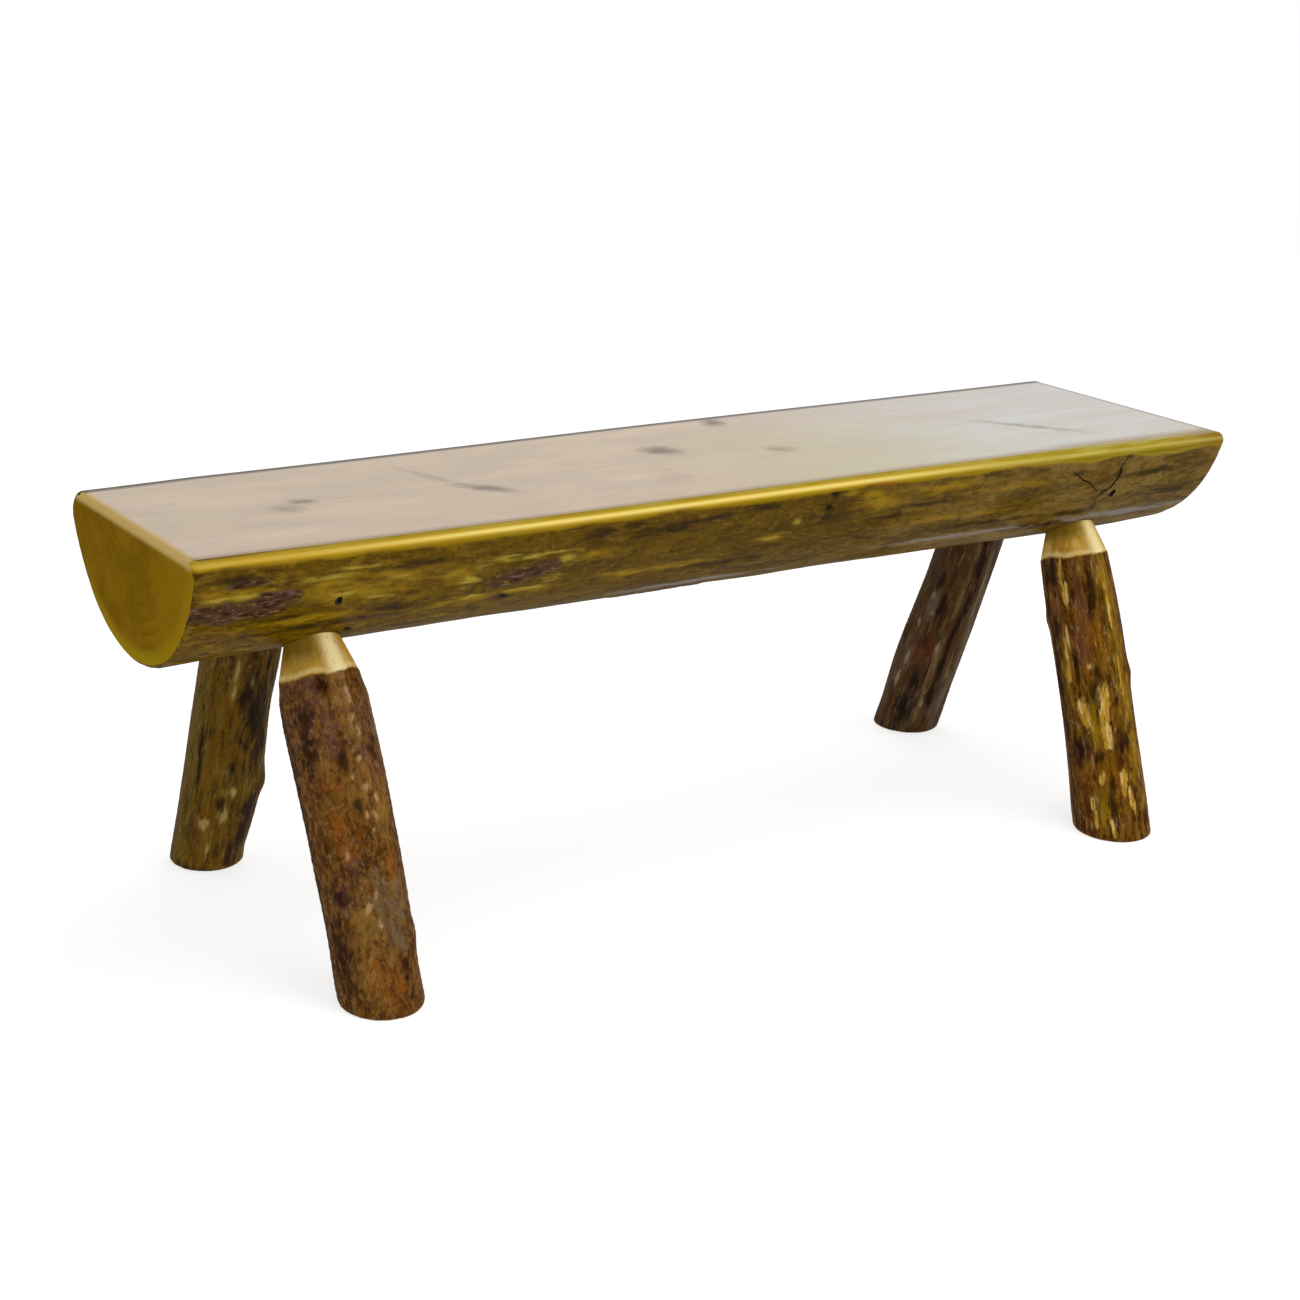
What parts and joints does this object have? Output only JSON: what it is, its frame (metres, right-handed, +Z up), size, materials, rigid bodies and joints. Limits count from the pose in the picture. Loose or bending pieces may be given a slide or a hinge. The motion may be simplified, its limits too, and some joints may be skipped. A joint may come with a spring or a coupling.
{
  "type": "rustic log bench",
  "caption": "Backless bench with a half-log seat, sawn flat on top, on splayed round log legs with tapered shoulders and tenons in blind mortises.",
  "frame": {"origin": "on the floor, under the middle of the bench", "axes": "+X along the bench, -Y towards the side that the picture shows as the front, +Z up"},
  "size_m": [1.2192, 0.492, 0.4318],
  "materials": {
    "seat_wood": "gloss",
    "leg_wood": "semi_gloss",
    "screw_steel": "satin"
  },
  "bodies": {
    "root": {"half_log_seat": "seat_wood", "leg_front_left": "leg_wood", "leg_front_right": "leg_wood", "leg_rear_left": "leg_wood", "leg_rear_right": "leg_wood", "lock_screw_front_left": "screw_steel", "lock_screw_front_right": "screw_steel", "lock_screw_rear_left": "screw_steel", "lock_screw_rear_right": "screw_steel"}
  },
  "joints": []
}
